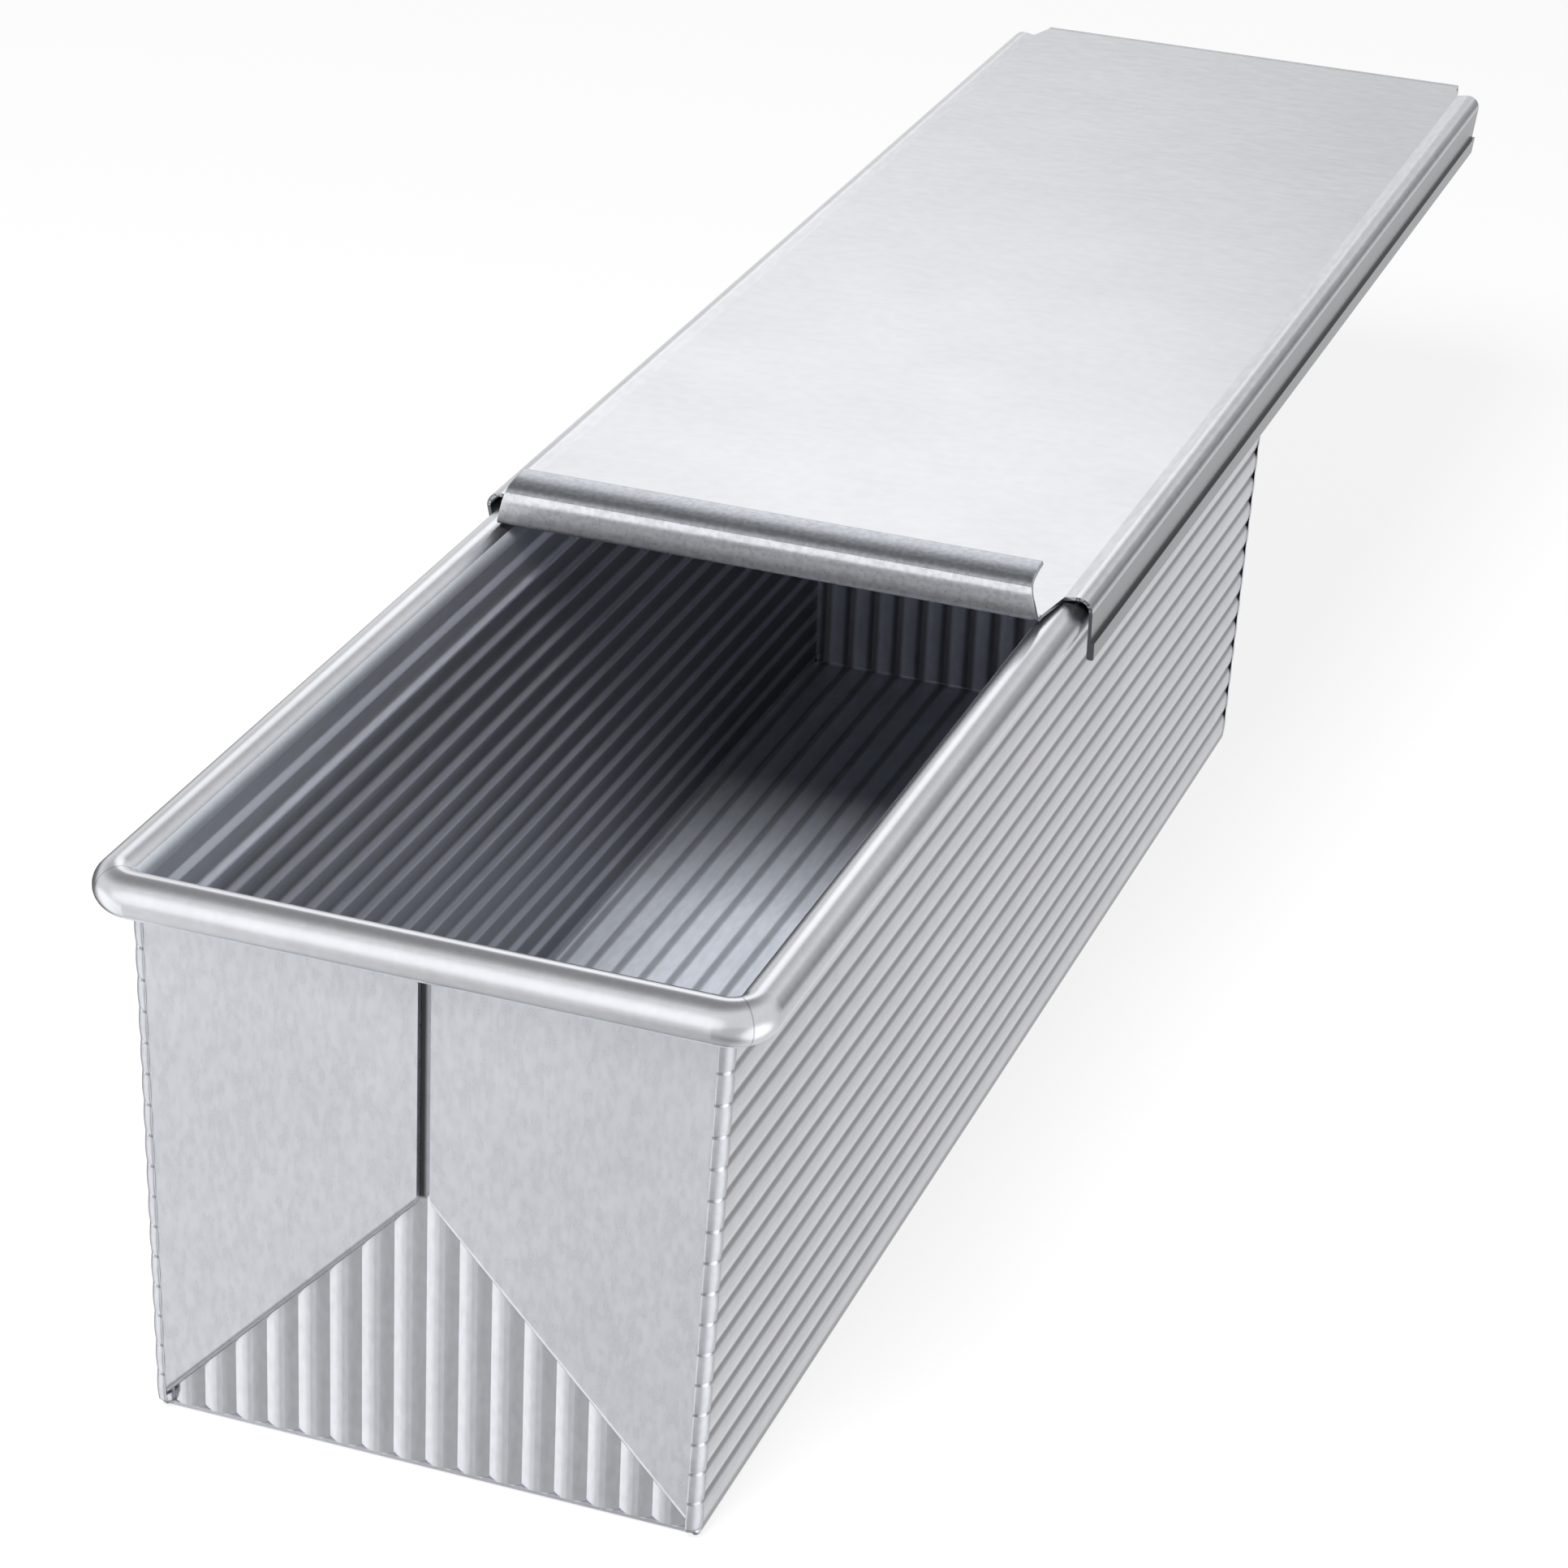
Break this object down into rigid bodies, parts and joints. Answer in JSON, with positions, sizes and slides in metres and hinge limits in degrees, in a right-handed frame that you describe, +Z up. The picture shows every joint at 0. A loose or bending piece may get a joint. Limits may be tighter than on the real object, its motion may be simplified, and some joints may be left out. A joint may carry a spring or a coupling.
{
  "type": "pullman loaf pan",
  "caption": "Long square loaf tin folded from fluted sheet, with folded ears on its ends, a wired rolled rim and a flat lid that slides along the rim.",
  "frame": {"origin": "on the ground under the middle of the pan's floor", "axes": "+X across the pan, +Y along it, the way the lid is drawn off, +Z up"},
  "size_m": [0.121, 0.5181, 0.1117],
  "materials": {
    "pan_sheet": "satin aluminised sheet",
    "rim_wire": "drawn wire",
    "lid_sheet": "satin aluminised sheet"
  },
  "bodies": {
    "pan": {"pan_floor": "pan_sheet", "left_wall": "pan_sheet", "right_wall": "pan_sheet", "front_end": "pan_sheet", "back_end": "pan_sheet", "front_left_ear": "pan_sheet", "front_right_ear": "pan_sheet", "back_left_ear": "pan_sheet", "back_right_ear": "pan_sheet", "front_rim_roll": "pan_sheet", "back_rim_roll": "pan_sheet", "left_rim_roll": "pan_sheet", "right_rim_roll": "pan_sheet", "rim_wire": "rim_wire"},
    "lid": {"lid_panel": "lid_sheet", "left_lid_channel": "lid_sheet", "right_lid_channel": "lid_sheet", "lid_pull_lip": "lid_sheet", "lid_stop_lip": "lid_sheet"}
  },
  "joints": [
    {"name": "lid_slide", "type": "slide", "parent": "pan", "child": "lid", "axis": [0, 1, 0], "range_m": [-0.1712, 0.19]}
  ]
}
